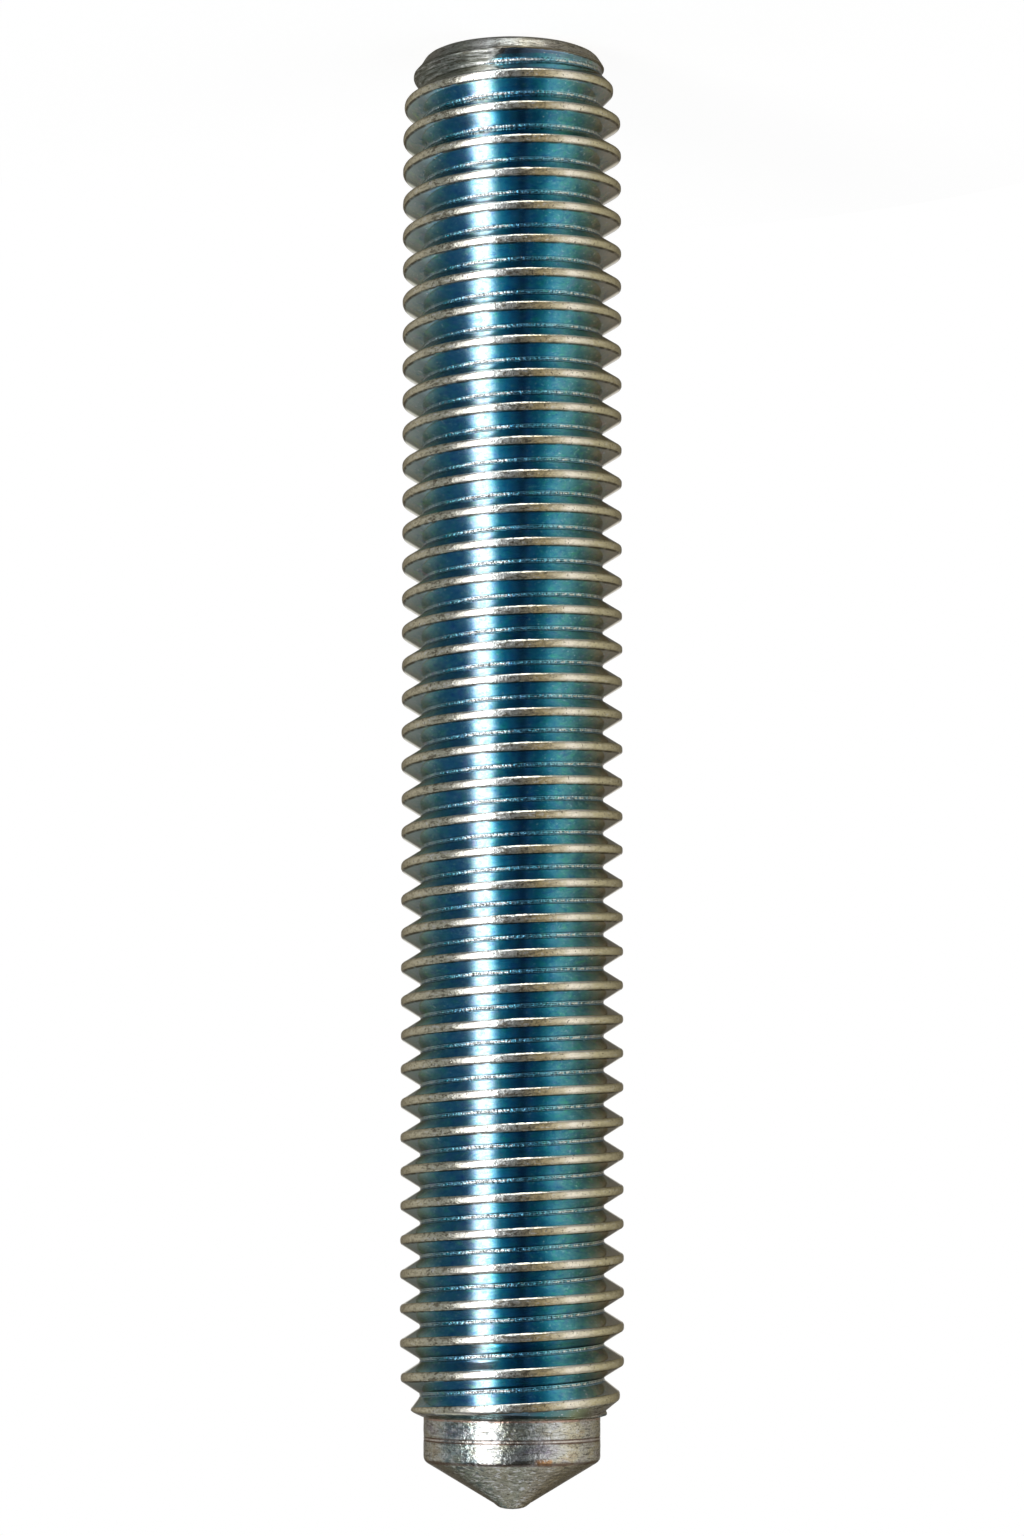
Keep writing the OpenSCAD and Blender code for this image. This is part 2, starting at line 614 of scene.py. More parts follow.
# %% Phase
climbed = calc("MULTIPLY_ADD", turn, -pitch / (2 * math.pi), height)
lifted = calc("ADD", climbed, pitch / 2 - crest_at)
phase = calc("SUBTRACT", calc("FLOORED_MODULO", lifted, pitch), pitch / 2)
off_crest = calc("ABSOLUTE", phase)
print("the phase repeats every", pitch, "mm")

# %% Noises
def noise_of(vector, scale, detail, rough=0.5):
    """A noise that reads any vector."""
    made = node("ShaderNodeTexNoise")
    put(made.inputs["Vector"], vector)
    put(made.inputs["Scale"], scale)
    put(made.inputs["Detail"], detail)
    put(made.inputs["Roughness"], rough)
    return made.outputs["Fac"]


def noise_at(stretch, scale, detail=2.0, rough=0.5, shift=(0, 0, 0)):
    """A noise on the stud's own coordinates, in millimetres, stretched by a Mapping node."""
    place = node("ShaderNodeMapping")
    put(place.inputs["Vector"], object_at)
    place.inputs["Scale"].default_value = [s / MM for s in stretch]
    place.inputs["Location"].default_value = shift
    return noise_of(place.outputs["Vector"], scale, detail, rough)


def wrapped(round_it, along_it, out=0.0):
    """A vector that follows the skin: round the stud, along it, and out from it."""
    made = node("ShaderNodeCombineXYZ")
    for socket, value in zip(made.inputs, (round_it, along_it, out)):
        put(socket, value)
    return made.outputs["Vector"]


blotch = noise_at((1, 1, 1), 0.35, detail=3.0)
print("nodes so far:", len(tree.nodes))

# %% Bearing
bearing = calc("ARCTAN2", times(x_mm, -1.0), times(y_mm, -1.0))
wander = times(calc("SUBTRACT", blotch, 0.5), 0.02)
around = calc("ADD", calc("MULTIPLY_ADD", bearing, 1 / (2 * math.pi), 0.5), wander)


def colour_ramp(value, tones, smooth="LINEAR"):
    """A colour for each value between 0 and 1, from a list of places and their colours."""
    made = node("ShaderNodeValToRGB")
    made.color_ramp.interpolation = smooth
    stops = made.color_ramp.elements
    while len(stops) < len(tones):
        stops.new(0.5)
    for stop, (place, tone) in zip(stops, tones):
        stop.position = place
        stop.color = (*tone, 1)
    put(made.inputs["Fac"], value)
    return made.outputs["Color"]


def colour_round(around, tones):
    """A colour that changes round an axis, from a list of bearings in degrees and their colours."""
    return colour_ramp(around, [(degrees / 360 + 0.5, tone) for degrees, tone in tones], "EASE")


def level_round(around, levels):
    """The same for a plain level in place of a colour."""
    return colour_round(around, [(degrees, (level, level, level)) for degrees, level in levels])


print("straight ahead is 0.5 and a bearing of -20 degrees is", round(-20 / 360 + 0.5, 3))

# %% [markdown]
# ## Which skin is plated and which is bare
# The crests have rubbed on other studs, so their flat top and its rounded edges are bare. The
# ends are bare where the mark on the mesh says so, with a ragged border, since plating tears
# unevenly. Only a narrow strip above the land keeps its film although the thread runs out there.

# %% Plated and bare
crest = between(phase, -0.215, -0.198, 0.175, 0.195)
ragged = noise_at((1, 1, 2.5), 2.2, detail=3.0, rough=0.7, shift=(1, 4, 4))
mark = node("ShaderNodeAttribute", attribute_name="turned").outputs["Fac"]
torn_mark = calc("MULTIPLY_ADD", calc("SUBTRACT", ragged, 0.5), 0.7, mark)
last_strip = times(
    spread(phase, 0.20, 0.25), between(height, 59.9, 60.1, 60.86, 60.93), spread(side, 3.7, 3.0),
)
turned = times(spread(torn_mark, 0.15, 0.85), calc("SUBTRACT", 1.0, last_strip))
worn = calc("MAXIMUM", crest, turned)
print("nodes so far:", len(tree.nodes))

# %% [markdown]
# ## The blue film
# Blue passivation is a film so thin that it colours light by interference, and its thickness
# drifts round the stud: navy at the front, teal to one side, grey green on the far flanks. A pale
# band between about -28 and -9 degrees is a painted highlight, where the window light is mirrored.
# A groove mirrors itself, so light meets the film two or three times before it leaves. That is why
# the tones below are paler than the groove looks.

# %% Film tones
# The pale stops from -28 to -9 degrees are a painted highlight, where the window light is mirrored.
film_and_highlight_tones = [
    (-180, (0.34, 0.55, 0.64)), (-90, (0.50, 0.58, 0.50)), (-62, (0.36, 0.51, 0.53)),
    (-50, (0.22, 0.43, 0.51)), (-40, (0.18, 0.47, 0.65)), (-33, (0.20, 0.47, 0.67)),
    (-28, (0.36, 0.62, 0.79)), (-25, (0.55, 0.75, 0.87)), (-22, (0.60, 0.75, 0.83)),
    (-17, (0.63, 0.75, 0.80)), (-13, (0.60, 0.78, 0.87)), (-9.5, (0.42, 0.78, 0.91)),
    (-6, (0.20, 0.70, 0.90)), (-3, (0.14, 0.60, 0.84)), (1, (0.17, 0.57, 0.83)),
    (8, (0.17, 0.46, 0.69)), (15, (0.10, 0.41, 0.55)), (20, (0.15, 0.50, 0.61)),
    (25, (0.26, 0.59, 0.69)), (31, (0.31, 0.60, 0.64)), (38, (0.27, 0.51, 0.53)),
    (50, (0.25, 0.42, 0.41)), (60, (0.42, 0.48, 0.42)), (90, (0.50, 0.50, 0.43)),
    (180, (0.34, 0.55, 0.64)),
]
film = colour_round(around, film_and_highlight_tones)
print("film tones:", len(film_and_highlight_tones))

# %% Drift and patina in the film
drift = noise_at((1, 1, 1.6), 1.9, detail=4.0, rough=0.65, shift=(8, 5, 2))
film = stain(film, (1.18, 0.76, 1.06), spread(drift, 0.54, 0.70, 0.0, 0.55))
film = stain(film, (0.98, 1.22, 0.88), spread(drift, 0.46, 0.32, 0.0, 0.75))
patina = noise_at((1, 1, 1.8), 3.2, detail=4.0, rough=0.7, shift=(5, 9, 1))
film = stain(film, (0.55, 0.72, 0.90), spread(patina, 0.52, 0.66, 0.0, 0.8))
film = stain(film, (1.45, 1.16, 1.10), spread(patina, 0.46, 0.34, 0.0, 0.8))
print("the film has four drifting stains")

# %% [markdown]
# ## The flanks near the crests
# High on the flanks, toward both sides, a painted reflection turns the film grey: cool on one
# side and sandy on the other.

# %% Outer flanks
# Painted reflection: grey high on the flanks at both sides, cool on one side and sandy on the other.
outer = paint((0.80, 0.96, 0.92), (0.82, 0.72, 0.57), spread(x_mm, 2.0, -2.0))
rise = calc("MULTIPLY_ADD", calc("SUBTRACT", blotch, 0.5), 0.5, from_axis)
outer_from, outer_full = 3.2, 4.3
side_reflection_area = times(spread(rise, 4.20, 4.80), spread(side, outer_from, outer_full))
groove = paint(film, outer, times(side_reflection_area, 0.65))
print("outer flanks start", outer_from, "mm from the middle")

# %% The last flank
# The film on the last flank; its pale stops from -22 to -10 degrees are a painted highlight.
last_flank = times(spread(height, 59.9, 60.1, 0.0, 0.9), spread(phase, 0.20, 0.25))
last_flank_and_highlight_tones = [
    (-180, (0.40, 0.42, 0.38)), (-50, (0.40, 0.44, 0.40)), (-30, (0.24, 0.42, 0.44)),
    (-22, (0.50, 0.75, 0.80)), (-10, (0.50, 0.75, 0.80)), (-3, (0.20, 0.24, 0.30)),
    (8, (0.10, 0.16, 0.20)), (17, (0.08, 0.24, 0.27)), (27, (0.20, 0.36, 0.34)),
    (40, (0.40, 0.44, 0.25)), (60, (0.42, 0.42, 0.32)), (180, (0.40, 0.42, 0.38)),
]
groove = paint(groove, colour_round(around, last_flank_and_highlight_tones), last_flank)
print("last flank tones:", len(last_flank_and_highlight_tones))

# %% The first groove
# Painted highlight: the narrow flank of the first groove is painted near white, fading on one side of the
# front.
first_flank_highlight = times(
    between(phase, -0.66, -0.58, -0.25, -0.20), spread(height, 2.10, 1.95),
    spread(around, 0.58, 0.52, 0.15, 0.95),
)
groove = paint(groove, (0.97, 1.0, 0.99), first_flank_highlight)
first_dark = times(
    between(phase, 0.18, 0.26, 0.46, 0.52), spread(height, 1.15, 1.0), spread(around, 0.62, 0.56, 0.2, 0.85),
)
groove = paint(groove, (0.24, 0.34, 0.50), first_dark)
print("nodes so far:", len(tree.nodes))

# %% [markdown]
# ## The bright line in the root
# At the very bottom of the groove a thin line is painted as a glint: white where it faces the
# window light, and toned round the stud elsewhere. It is whole where it faces the window light
# and broken into beads elsewhere, with a darker edge beside it.

# %% Root line
root_glint_tones = [
    (-180, (0.55, 0.60, 0.58)), (-62, (0.46, 0.58, 0.60)), (-44, (0.01, 0.28, 0.39)),
    (-34, (0.34, 0.76, 0.90)), (-28, (1, 1, 1)), (-5, (1, 1, 1)), (3, (0.04, 0.12, 0.20)),
    (16, (0.08, 0.30, 0.42)), (24, (0.36, 0.82, 0.95)), (31, (0.86, 0.96, 0.90)),
    (42, (0.78, 0.80, 0.68)), (55, (0.58, 0.58, 0.48)), (90, (0.50, 0.48, 0.40)),
    (180, (0.55, 0.60, 0.58)),
]
# A painted glint along the root, toned by bearing.
root_glint = times(spread(off_crest, 0.680, 0.705), spread(height, 60.5, 60.0))
beads_apart = spread(noise_at((1, 1, 0.5), 5.0, shift=(2, 2, 6)), 0.44, 0.54)
glint_unbroken = between(around, 0.410, 0.425, 0.485, 0.500)
unbroken = calc("MAXIMUM", beads_apart, glint_unbroken)
groove = paint(groove, colour_round(around, root_glint_tones), times(root_glint, unbroken, 0.9))
# Painted highlight: the root of the first groove is painted near white at the front.
first_root_glint = times(root_glint, spread(height, 1.8, 1.7), spread(around, 0.57, 0.53))
groove = paint(groove, (0.97, 1.0, 1.0), times(first_root_glint, 0.9))
print("root tones:", len(root_glint_tones))

# %% Scuffs and the dark edge of the root
scuffs = spread(noise_at((1, 1, 1.3), 7.0, shift=(3, 3, 8)), 0.64, 0.70, 0.0, 0.8)
groove = paint(groove, (0.80, 0.86, 0.88), scuffs)
# Painted shade: a dark line beside the root.
root_shade = between(phase, -0.735, -0.715, -0.67, -0.60)
groove = paint(groove, (0.08, 0.19, 0.26), times(root_shade, 0.7))
print("nodes so far:", len(tree.nodes))

# %% [markdown]
# ## The rubbed crests
# Bare zinc is a warm silver. It yellows a little toward the sides, and it is lighter at the
# bearings where the lights are mirrored, as a painted highlight. Fine scrapes across the crests come
# in patches, where studs have rubbed against each other in the box, and show as dark and bright
# specks. How many show is set by bearing, most just beside the window's highlight and fewest in it,
# so they are partly painted glints and painted shade.

# %% Crest tones
# The stops at -20 to -9 and at 31 degrees are lighter: a painted highlight.
crest_and_highlight_tones = [
    (-180, (0.72, 0.66, 0.48)), (-90, (0.76, 0.68, 0.48)), (-57, (0.86, 0.79, 0.57)),
    (-40, (0.78, 0.78, 0.62)), (-20, (0.90, 0.87, 0.82)), (-9, (0.92, 0.97, 0.97)),
    (0, (0.80, 0.83, 0.79)), (7, (0.76, 0.67, 0.47)), (14, (0.76, 0.62, 0.34)),
    (25, (0.82, 0.73, 0.51)), (31, (0.98, 0.90, 0.73)), (40, (0.80, 0.73, 0.54)),
    (50, (0.77, 0.68, 0.41)), (90, (0.74, 0.65, 0.42)), (180, (0.72, 0.66, 0.48)),
]
crest_tone = colour_round(around, crest_and_highlight_tones)
print("crest tones:", len(crest_and_highlight_tones))

# %% Scrapes on the crests
scrape = noise_of(wrapped(times(turn, 4.9 * 3.2), times(phase, 7.0), times(height, 0.7)), 1.0, 3.0, 0.7)
# Scrape specks by bearing: most beside the window's highlight, as painted glints and painted shade.
scrape_and_glint_sides = [
    (-180, 0.35), (-90, 0.3), (-55, 0.5), (-45, 1.0), (-32, 0.9), (-26, 0.15), (-13, 0.1), (-8, 0.9),
    (8, 1.0), (14, 0.55), (30, 0.25), (90, 0.3), (180, 0.35),
]
scrapes_and_glints = level_round(around, scrape_and_glint_sides)
crest_tone = paint(crest_tone, (0.26, 0.23, 0.17), times(scrapes_and_glints, spread(scrape, 0.50, 0.62), 0.85))
crest_tone = paint(crest_tone, (1, 1, 0.97), times(scrapes_and_glints, spread(scrape, 0.44, 0.36), 0.8))
print("nodes so far:", len(tree.nodes))

# %% [markdown]
# ## The lit edge of the crests
# A thin bright line is painted along the rounded edge of each crest that faces the flat end of
# the stud, at the front: a painted highlight.

# %% Lit edge
# Painted highlight along the crest edge.
lit_edge = times(between(phase, -0.205, -0.19, -0.15, -0.12), between(around, 0.47, 0.51, 0.60, 0.66))
crest_tone = paint(crest_tone, (1.0, 0.99, 0.93), times(lit_edge, 0.7))
print("nodes so far:", len(tree.nodes))

# %% [markdown]
# ## The turned ends
# Turned steel shows the lathe: tints that drift from violet grey to straw, fine lines round it,
# and dark and bright dashes. The tint comes first, then a browner cone, and a tone for each side.

# %% Tints
tint = noise_at((1, 1, 1.6), 0.75, detail=3.0, rough=0.6, shift=(7, 2, 5))
tints = [
    (0.30, (0.46, 0.42, 0.50)), (0.40, (0.60, 0.58, 0.58)), (0.48, (0.68, 0.69, 0.66)),
    (0.56, (0.70, 0.68, 0.57)), (0.64, (0.62, 0.55, 0.43)), (0.72, (0.56, 0.52, 0.50)),
]
bare = colour_ramp(tint, tints)
print("tints:", len(tints))

# %% Sides of the turned ends
on_cone = spread(height, shoulder_z - 0.05, shoulder_z + 0.15)
bare = paint(bare, (0.55, 0.50, 0.38), times(on_cone, 0.8))
side_tones = [
    (-180, (1, 1, 1)), (-60, (0.90, 0.88, 0.84)), (-40, (0.76, 0.95, 1.0)), (-10, (0.93, 1.0, 1.0)),
    (5, (0.86, 0.97, 1.0)), (25, (1.0, 1.0, 1.0)), (45, (1.0, 0.94, 0.80)), (70, (1.0, 0.92, 0.76)),
    (180, (1, 1, 1)),
]
bare = stain(bare, colour_round(around, side_tones))
print("side tones:", len(side_tones))

# %% The flat end's tones and two painted highlights
at_flat_end = spread(height, 6.0, 4.0)
dome_tone = paint((0.47, 0.48, 0.42), (0.70, 0.64, 0.48), spread(x_mm, 1.5, -1.0))
bare = paint(bare, dome_tone, times(at_flat_end, 0.7))
# Painted highlight: the front of the land is painted near white where it faces the window light.
facing_window = between(around, 0.42, 0.455, 0.465, 0.485)
land_highlight = times(facing_window, spread(height, shoulder_z, shoulder_z - 0.1))
bare = paint(bare, (0.97, 0.99, 1.0), times(land_highlight, 0.7))
# Painted highlight: a pale patch on the rounded edge of the flat end, at the front.
dome_highlight = times(
    between(around, 0.445, 0.47, 0.485, 0.52), spread(calc("MULTIPLY_ADD", blotch, 0.3, height), 0.80, 0.62),
    spread(height, 0.05, 0.12, 0.0, 0.75),
)
bare = paint(bare, (0.65, 0.70, 0.69), dome_highlight)
print("nodes so far:", len(tree.nodes))

# %% [markdown]
# ## Grain, streaks and dashes
# The grain is fine and even. The streaks run round the stud, as a cutting tool does, and the
# dashes are the short marks of chips that were dragged along. Dark and bright ones both show.

# %% Grain and streaks
grain = noise_at((1, 1, 2.2), 7.0, detail=3.0, rough=0.7, shift=(2, 6, 6))
bare = paint(bare, (0.14, 0.13, 0.10), spread(grain, 0.53, 0.66, 0.0, 0.7))
bright_grain = times(spread(grain, 0.43, 0.32, 0.0, 0.6), mix_value(on_cone, 1.0, 0.4))
bare = paint(bare, (0.92, 0.92, 0.88), bright_grain)
streaks = noise_of(wrapped(times(turn, 3.0), times(height, 9.0), times(from_axis, 3.0)), 1.6, 4.0, 0.65)
bare = paint(bare, (0.27, 0.24, 0.19), spread(streaks, 0.52, 0.68, 0.0, 0.7))
bare = paint(bare, (0.80, 0.79, 0.75), spread(streaks, 0.42, 0.30, 0.0, 0.6))
print("nodes so far:", len(tree.nodes))

# %% Torn start and dashes
torn = times(between(height, 0.50, 0.70, 1.3, 1.7), spread(x_mm, 0.4, 1.3))
bare = paint(bare, (0.34, 0.40, 0.37), times(torn, spread(height, 0.9, 1.2), spread(x_mm, 1.8, 3.0), 0.55))
bare = paint(bare, (0.15, 0.16, 0.13), times(torn, spread(streaks, 0.42, 0.56, 0.1, 0.85)))
dashes = noise_of(wrapped(times(turn, 6.0), times(height, 9.0)), 1.0, 3.0, 0.6)
bare = paint(bare, (0.13, 0.12, 0.10), spread(dashes, 0.57, 0.64, 0.0, 0.75))
bare = paint(bare, (0.97, 0.97, 0.94), spread(dashes, 0.42, 0.35, 0.0, 0.45))
print("nodes so far:", len(tree.nodes))

# %% [markdown]
# ## Marks on the land
# The land carries a bright band between two scored lines, a copper coloured stain at its
# shoulder, and a front that is crumpled like foil, with the crumples' shade and glints painted on
# as dark and bright patches. Its upper edge is reddish.

# %% Copper stain and the scored band
stain_low, stain_high = 62.60, 62.93
stain_band = between(height, stain_low, 62.72, 62.88, stain_high)
stain_at = times(between(around, 0.540, 0.550, 0.573, 0.579), stain_band)
bare = paint(bare, (0.74, 0.38, 0.14), times(stain_at, spread(grain, 0.35, 0.55, 1.0, 0.7)))
# A dark patch at the front, beside the stain.
dark_patch = times(between(around, 0.485, 0.505, 0.536, 0.544), between(height, 62.62, 62.76, 62.86, 62.90))
bare = paint(bare, (0.10, 0.09, 0.06), times(dark_patch, 0.75))
band = between(height, 61.83, 61.87, 61.95, 61.99)
bare = paint(bare, (0.90, 0.78, 0.72), times(band, 0.5))
print("copper stain between", stain_low, "and", stain_high, "mm")

# %% Foil
foil = noise_at((1, 1, 1.2), 3.6, detail=3.0, rough=0.65, shift=(9, 3, 3))
foil_area = times(between(around, 0.33, 0.38, 0.55, 0.62), turned, spread(height, 60.9, 61.1))
# Painted shade and painted glints of the crumples: dark patches, strongest away from the highlight, then
# bright ones.
foil_shade = times(spread(foil, 0.52, 0.62), spread(around, 0.455, 0.43, 0.35, 1.0), foil_area, 0.75)
bare = paint(bare, (0.16, 0.22, 0.24), foil_shade)
bare = paint(bare, (0.95, 0.98, 1.0), times(spread(foil, 0.46, 0.36), foil_area, 0.8))
print("nodes so far:", len(tree.nodes))

# %% Dark lines
patchy = spread(tint, 0.35, 0.60, 0.6, 1.0)
dark_lines = ((first_line, 0.028, 0.85), (second_line, 0.030, 0.9), (shoulder_z, 0.06, 0.75))
for line_z, half, strength in dark_lines:
    away = calc("ABSOLUTE", calc("SUBTRACT", height, line_z))
    on_line = times(spread(away, half * 1.6, half * 0.6), patchy)
    bare = paint(bare, (0.17, 0.09, 0.06), times(on_line, strength))
top_edge = times(between(height, 60.97, 61.01, 61.05, 61.10), spread(tint, 0.40, 0.55, 0.2, 0.8))
bare = paint(bare, (0.72, 0.46, 0.36), top_edge)
dome_line = times(between(height, 0.56, 0.61, 0.69, 0.74), spread(x_mm, 1.0, 0.2))
bare = paint(bare, (0.14, 0.11, 0.06), times(dome_line, 0.85))
print("nodes so far:", len(tree.nodes))

# %% [markdown]
# ## Put the finishes together
# The groove, the crests and the turned ends meet here. A dark line is painted along the lower
# rim of each crest as shade, broken up by a noise, small dark specks sit on all the bare metal,
# and a dark line follows the torn edge of the film at the flat end.

# %% Colour
silver = paint(crest_tone, bare, turned)
specks = spread(noise_at((1, 1, 1), 9.0, shift=(2, 9, 4)), 0.63, 0.70)
silver = paint(silver, (0.16, 0.13, 0.09), times(specks, 0.75))
colour = paint(groove, silver, worn)
rim_shade_noise = noise_at((1, 1, 1), 2.5, shift=(6, 3, 1))
# Painted shade along the lower rim of each crest, broken up by a noise.
rim = times(between(phase, 0.145, 0.18, 0.21, 0.25), spread(rim_shade_noise, 0.30, 0.60, 0.35, 1.0))
colour = paint(colour, (0.13, 0.10, 0.06), times(rim, spread(turned, 0.0, 0.6, 0.85, 0.0)))
film_edge = times(
    between(turned, 0.05, 0.35, 0.70, 0.98), spread(height, 1.3, 1.0),
    spread(ragged, 0.30, 0.45, 0.5, 1.0), spread(x_mm, 1.2, 0.2, 0.2, 0.8),
)
colour = paint(colour, (0.10, 0.08, 0.05), film_edge)
print("nodes so far:", len(tree.nodes))

# %% [markdown]
# ## Gloss and relief
# The film is the smoothest skin, the crests are a little duller and the flat end is the dullest.
# Relief too fine for the mesh comes from one Bump node, whose height is a sum in metres: pits,
# dents, streaks, beads in the root, scrapes on the crests, and the crumpled front of the land.

# %% Roughness
film_rough, crest_rough, land_rough, flat_end_rough = 0.10, 0.24, 0.22, 0.34
turned_rough = mix_value(at_flat_end, land_rough, flat_end_rough)
bare_rough = mix_value(turned, crest_rough, turned_rough)
roughness = mix_value(worn, film_rough, bare_rough)
print("roughness from", film_rough, "in the grooves to", flat_end_rough, "at the flat end")

# %% Relief
pits = noise_at((1, 1, 3), 6.0, detail=3.0, shift=(5, 2, 0))
dents = noise_at((1, 1, 1.4), 3.4, detail=3.0, rough=0.6, shift=(4, 4, 9))
beads = noise_of(wrapped(times(turn, root_r), times(height, 0.9)), 8.0, 2.0)
root_floor = times(spread(from_axis, 4.11, 4.072), spread(turned, 0.5, 0.0))
reliefs = [
    times(pits, mix_value(worn, 0.0003 * MM, 0.006 * MM)),
    times(dents, turned, 0.030 * MM),
    times(foil, foil_area, mix_value(land_highlight, 0.038 * MM, 0.012 * MM)),
    times(dashes, turned, -0.012 * MM),
    times(streaks, turned, -0.006 * MM),
    times(beads, root_floor, 0.09 * MM),
    times(scrape, scrapes_and_glints, crest, 0.035 * MM),
]
relief = reliefs[0]
for more_relief in reliefs[1:]:
    relief = calc("ADD", relief, more_relief)
print("reliefs:", len(reliefs))

# %% Shader
bump = node("ShaderNodeBump")
put(bump.inputs["Strength"], 1.0)
put(bump.inputs["Distance"], 1.0)
put(bump.inputs["Height"], relief)
shader = node("ShaderNodeBsdfPrincipled")
put(shader.inputs["Base Color"], colour)
put(shader.inputs["Metallic"], 1.0)
put(shader.inputs["Roughness"], roughness)
put(shader.inputs["Specular Tint"], (0.60, 0.56, 0.48, 1))
put(shader.inputs["Normal"], bump.outputs["Normal"])
output = node("ShaderNodeOutputMaterial")
put(output.inputs["Surface"], shader.outputs["BSDF"])
stud.data.materials.append(zinc)
print("nodes in the zinc plating:", len(tree.nodes))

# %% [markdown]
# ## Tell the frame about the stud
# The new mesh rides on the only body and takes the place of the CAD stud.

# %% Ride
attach(stud, "root")
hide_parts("stud")
print("the stud rides on root")

# %% [markdown]
# ## Floor
# The stud stands on a plain pale floor. Its paint is seen as nearly white by the camera and by
# reflections, and it is otherwise a mid grey, so that it keeps a faint shadow and throws little
# light back up. It is left out of mirror reflections, because the thread should show the walls.

# %% Floor
floor_r = 0.035
floor_drop = 0.00002
floor_bm = bmesh.new()
bmesh.ops.create_circle(floor_bm, cap_ends=True, cap_tris=False, segments=96, radius=floor_r)
floor_mesh = bpy.data.meshes.new("floor")
floor_bm.to_mesh(floor_mesh)
floor_bm.free()
floor = bpy.data.objects.new("floor", floor_mesh)
floor.location.z = -floor_drop
floor.visible_glossy = False
floor.visible_shadow = False
bpy.context.scene.collection.objects.link(floor)
print("floor", floor.dimensions.x / MM, "mm wide")

# %% Floor paint
def rays():
    """Whether a ray comes from the camera, and whether it comes from a mirror or through glass."""
    paths = node("ShaderNodeLightPath").outputs
    mirrored = calc("MAXIMUM", paths["Is Glossy Ray"], paths["Is Transmission Ray"])
    return paths["Is Camera Ray"], mirrored


floor_paint = new_material("floor_paint")
tree = floor_paint.node_tree
diffuse = node("ShaderNodeBsdfDiffuse")
put(diffuse.inputs["Color"], (0.25, 0.25, 0.25, 1))
glow = node("ShaderNodeEmission")
from_camera, mirrored = rays()
seen = calc("MAXIMUM", from_camera, mirrored)
put(glow.inputs["Strength"], times(seen, 0.90))
both = node("ShaderNodeAddShader")
put(both.inputs[0], diffuse.outputs["BSDF"])
put(both.inputs[1], glow.outputs["Emission"])
output = node("ShaderNodeOutputMaterial")
put(output.inputs["Surface"], both.outputs["Shader"])
floor.data.materials.append(floor_paint)
print("floor paint has", len(tree.nodes), "nodes")

# %% [markdown]
# ## The room
# Polished metal shows its room more than itself. The world is a plain studio: soft grey walls
# that are darker in front and brighter to one side, a pale floor in front of the stud, a soft
# glow above it at the back, and a white sweep behind. The camera sees plain white.

# %% Walls
world = bpy.data.worlds.new("studio")
bpy.context.scene.world = world
world.use_nodes = True
tree = world.node_tree
tree.nodes.clear()
direction = node("ShaderNodeSeparateXYZ")
put(direction.inputs["Vector"], node("ShaderNodeTexCoord").outputs["Generated"])
to_x, to_y, to_z = direction.outputs
wall_bearing = calc("ARCTAN2", times(to_x, -1.0), times(to_y, -1.0))
walls = [
    (-180, 0.20), (-150, 0.34), (-115, 0.41), (-95, 0.32), (-78, 0.25), (-64, 0.26), (-52, 0.35),
    (-20, 0.38), (-9, 0.26), (1, 0.14), (13, 0.08), (28, 0.31), (40, 0.46), (50, 0.74), (60, 0.88),
    (76, 0.88), (95, 0.56), (115, 0.42), (150, 0.30), (180, 0.20),
]
wall_around = calc("MULTIPLY_ADD", wall_bearing, 1 / (2 * math.pi), 0.5)
wall_light = level_round(wall_around, walls)
wall_light = times(wall_light, spread(calc("ABSOLUTE", to_z), 0.15, 0.77, 1.0, 0.45))
print("wall tones:", len(walls))

# %% Below, above and behind
in_front = times(
    spread(wall_bearing, math.radians(-30), math.radians(-10)),
    spread(wall_bearing, math.radians(65), math.radians(45)),
)
below = times(spread(to_z, -0.85, -0.92, 0.0, 4.2), in_front)
above = times(spread(to_z, 0.55, 0.80), spread(to_y, -0.20, 0.30, 0.0, 0.42))
room = calc("ADD", wall_light, calc("ADD", below, above))
sweep = spread(to_y, 0.97, 0.992)
print("nodes in the world:", len(tree.nodes))

# %% World
from_camera, mirrored = rays()
shown = calc("MAXIMUM", times(sweep, mirrored), from_camera)
background = node("ShaderNodeBackground")
put(background.inputs["Color"], (1, 1, 1, 1))
put(background.inputs["Strength"], mix_value(shown, room, 1.0))
output = node("ShaderNodeOutputWorld")
put(output.inputs["Surface"], background.outputs["Background"])
print("nodes in the world:", len(tree.nodes))

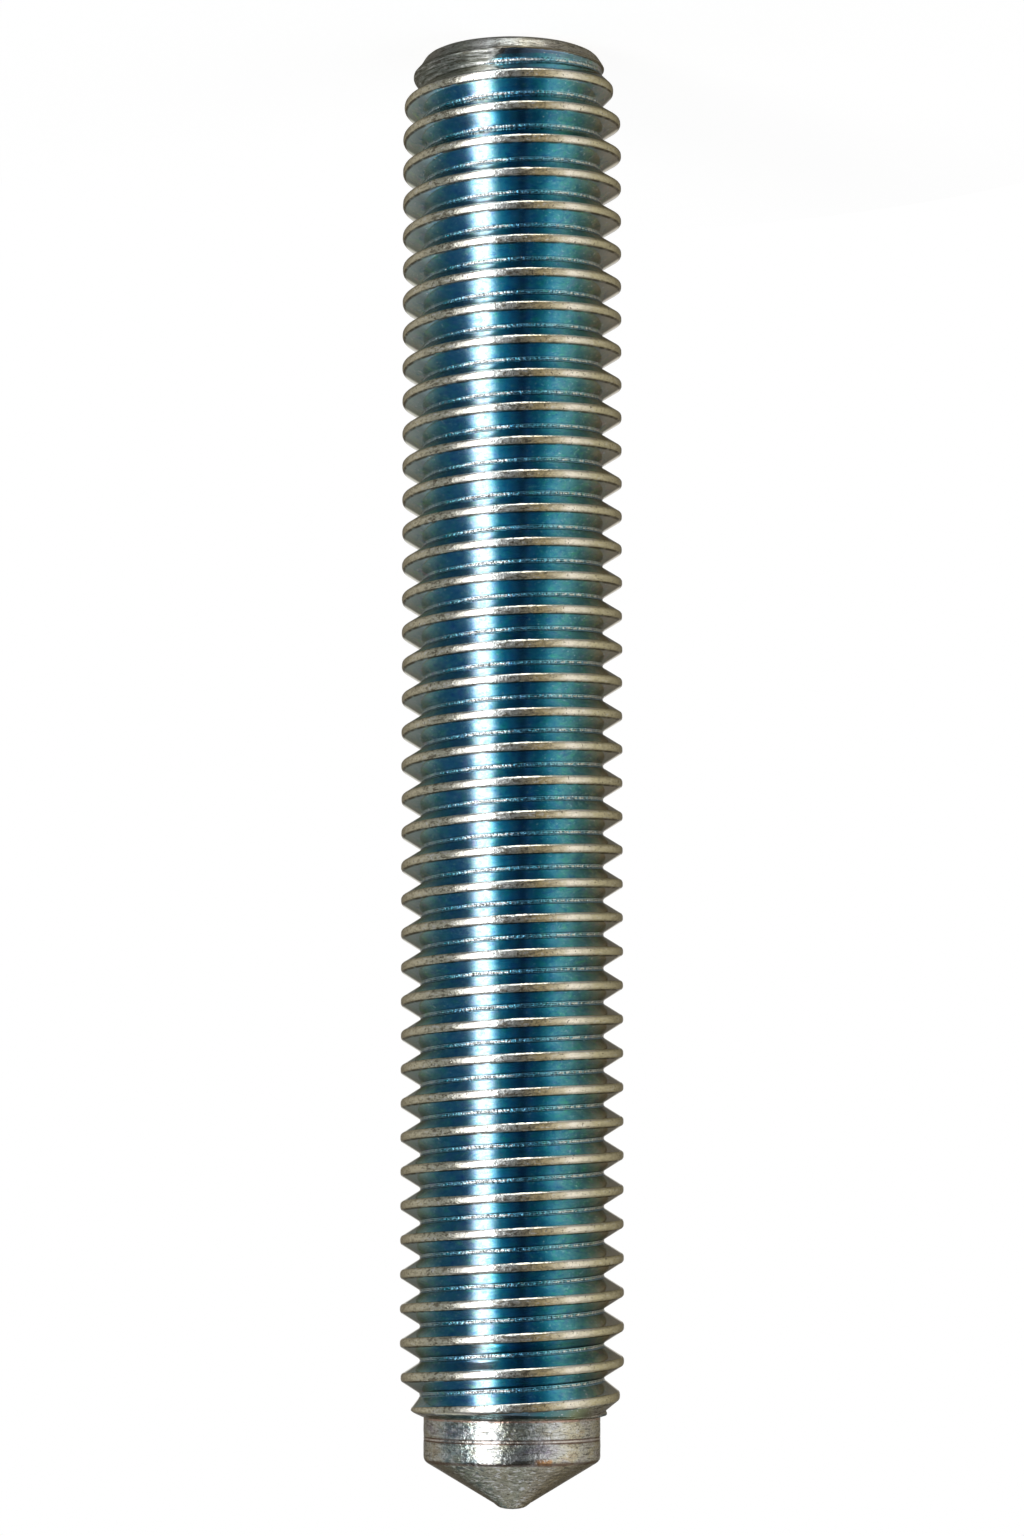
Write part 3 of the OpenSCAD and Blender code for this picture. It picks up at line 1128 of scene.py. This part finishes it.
# %% [markdown]
# ## The window light
# One tall soft light stands to the left, and every thread mirrors it as a bright stripe. Real
# windows fade toward their edges, so five boxes of growing width stand one behind the other, each
# dimmer than the last, and together they make a soft edge.

# %% Soft boxes
def softbox(name, azimuth, distance, height, width, tall, radiance):
    """A tall area light that faces the axis of the stud."""
    lamp = bpy.data.lights.new(name, "AREA")
    lamp.shape = "RECTANGLE"
    lamp.size = width
    lamp.size_y = tall
    lamp.energy = radiance * math.pi * width * tall
    box = bpy.data.objects.new(name, lamp)
    a = math.radians(azimuth)
    box.location = (-math.sin(a) * distance, -math.cos(a) * distance, height)
    aim = Vector((0, 0, height)) - box.location
    box.rotation_euler = aim.to_track_quat("-Z", "Y").to_euler()
    box.visible_camera = False
    bpy.context.scene.collection.objects.link(box)
    return box


half_angles = (7, 10, 13, 16, 20)
radiances = (0.7, 0.7, 0.6, 0.4, 0.2)
window_azimuth = -37
window_middle = -0.20
window_tall = 1.30
nearest = 0.45
box_gap = 0.01
for i, (half_angle, radiance) in enumerate(zip(half_angles, radiances)):
    distance = nearest + box_gap * i
    width = 2 * distance * math.tan(math.radians(half_angle))
    name = "strip_box_" + str(i + 1)
    softbox(name, window_azimuth, distance, window_middle, width, window_tall, radiance)
print("soft boxes:", len(half_angles))

# %% [markdown]
# ## Camera
# The camera stands a little nearer the weld end and is rolled half a turn, so the weld end points
# down in the picture, as it does before it is welded.

# %% Camera
camera_data = bpy.data.cameras.new("camera")
camera_data.lens = 98.9
camera_data.sensor_width = 36.0
camera_data.clip_start = 0.01
camera = bpy.data.objects.new("camera", camera_data)
tilt = math.radians(5.88)
camera_away = 0.1872
camera_height = 0.05164
camera.matrix_world = (
    Matrix.Translation((0, -camera_away, camera_height))
    @ Matrix.Rotation(math.radians(90) - tilt, 4, "X")
    @ Matrix.Rotation(math.pi, 4, "Z")
)
bpy.context.scene.collection.objects.link(camera)
bpy.context.scene.camera = camera
bpy.context.scene.view_settings.view_transform = "Standard"
print("camera lens", camera_data.lens, "mm")
